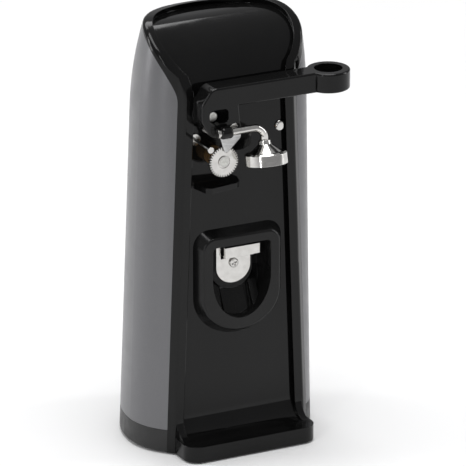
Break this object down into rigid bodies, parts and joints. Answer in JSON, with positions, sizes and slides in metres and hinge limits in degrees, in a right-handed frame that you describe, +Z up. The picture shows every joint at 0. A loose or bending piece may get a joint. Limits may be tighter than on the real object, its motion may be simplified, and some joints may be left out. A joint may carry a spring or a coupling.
{
  "type": "electric can opener",
  "caption": "Tall tower can opener with a wrap-round shell, glossy front, lift-up cutting lever with magnet, feed wheel, bottle opener and can tray.",
  "frame": {"origin": "on the table, under the centre of the body's plan", "axes": "+Z up, -Y is the front with the feed wheel and lever, +X to the right seen from the front"},
  "size_m": [0.112, 0.1107, 0.234],
  "materials": {
    "black_gloss": "high-gloss injection-moulded ABS",
    "grey_shell": "satin metallic grey paint on moulded ABS",
    "black_satin": "satin black ABS",
    "bezel_black": "semi-gloss black ABS",
    "rubber_black": "soft black rubber",
    "polished_steel": "polished stainless steel",
    "blade_steel": "ground hardened steel",
    "plated_steel": "zinc-plated steel",
    "magnet_face": "bare ferrite and steel",
    "gear_white": "natural acetal",
    "bronze": "sintered bronze",
    "lamination": "stacked electrical steel",
    "copper": "enamelled copper winding",
    "fan_plastic": "moulded nylon",
    "switch_red": "moulded phenolic"
  },
  "bodies": {
    "housing": {"front_cover": "black_gloss", "side_shell": "grey_shell", "skirt_left": "black_satin", "skirt_right": "black_satin", "skirt_rear": "black_satin", "base_plate": "black_satin", "foot_ring": "rubber_black", "base_screws": "plated_steel", "cover_screws": "plated_steel", "cord_gland": "rubber_black", "opener_bezel": "bezel_black", "opener_pad": "rubber_black", "opener_plate": "polished_steel", "opener_screw": "polished_steel", "feed_bushing": "bronze", "guide_pin": "polished_steel", "guide_stud": "polished_steel", "chassis_plate": "plated_steel", "rear_plate": "plated_steel", "spacer_posts": "plated_steel", "frame_screws": "plated_steel", "gear_axles": "plated_steel", "motor_stator": "lamination", "motor_coil": "copper", "coil_flanges": "fan_plastic", "motor_bracket_front": "plated_steel", "motor_bracket_rear": "plated_steel", "motor_bearings": "bronze", "motor_screws": "plated_steel", "switch_body": "switch_red"},
    "lever": {"lever_arm": "black_gloss", "lever_shaft": "plated_steel", "lever_washer": "plated_steel", "lever_clip": "plated_steel", "switch_cam": "gear_white", "blade": "blade_steel", "blade_rivet": "polished_steel"},
    "magnet_arm": {"magnet_rod": "polished_steel", "magnet_cup": "polished_steel", "magnet_disc": "magnet_face"},
    "feed": {"feed_wheel": "polished_steel", "feed_nut": "polished_steel", "feed_shaft": "plated_steel", "feed_clip": "plated_steel", "drive_gear": "gear_white"},
    "second": {"second_gear": "gear_white"},
    "first": {"first_gear": "gear_white"},
    "rotor": {"motor_rotor": "lamination", "motor_pinion": "bronze", "motor_fan": "fan_plastic"},
    "button": {"switch_button": "gear_white"}
  },
  "joints": [
    {"name": "lever_pivot", "type": "hinge", "parent": "housing", "child": "lever", "pos_m": [-0.02, -0.03, 0.19], "axis": [0, -1, 0], "range_deg": [0, 50]},
    {"name": "magnet_swing", "type": "hinge", "parent": "lever", "child": "magnet_arm", "pos_m": [-0.016, -0.046, 0.183], "axis": [-1, 0, 0], "range_deg": [-10, 70]},
    {"name": "motor_spin", "type": "hinge", "parent": "housing", "child": "rotor", "pos_m": [0, 0.017, 0.11639], "axis": [0, 1, 0], "continuous": true},
    {"name": "first_spin", "type": "hinge", "parent": "housing", "child": "first", "pos_m": [0.01332, -0.004, 0.13539], "axis": [0, 1, 0], "continuous": true},
    {"name": "second_spin", "type": "hinge", "parent": "housing", "child": "second", "pos_m": [0.00898, -0.009, 0.16001], "axis": [0, 1, 0], "continuous": true},
    {"name": "feed_spin", "type": "hinge", "parent": "housing", "child": "feed", "pos_m": [-0.0145, -0.03, 0.165], "axis": [0, 1, 0], "continuous": true},
    {"name": "switch_press", "type": "slide", "parent": "housing", "child": "button", "axis": [0, 0, -1], "range_m": [0, 0.001], "stiffness_N_per_m": 300}
  ],
  "couplings": [
    {"joint": "first_spin", "follows": "motor_spin", "ratio": -0.20833},
    {"joint": "second_spin", "follows": "motor_spin", "ratio": 0.052083},
    {"joint": "feed_spin", "follows": "motor_spin", "ratio": -0.017361}
  ]
}
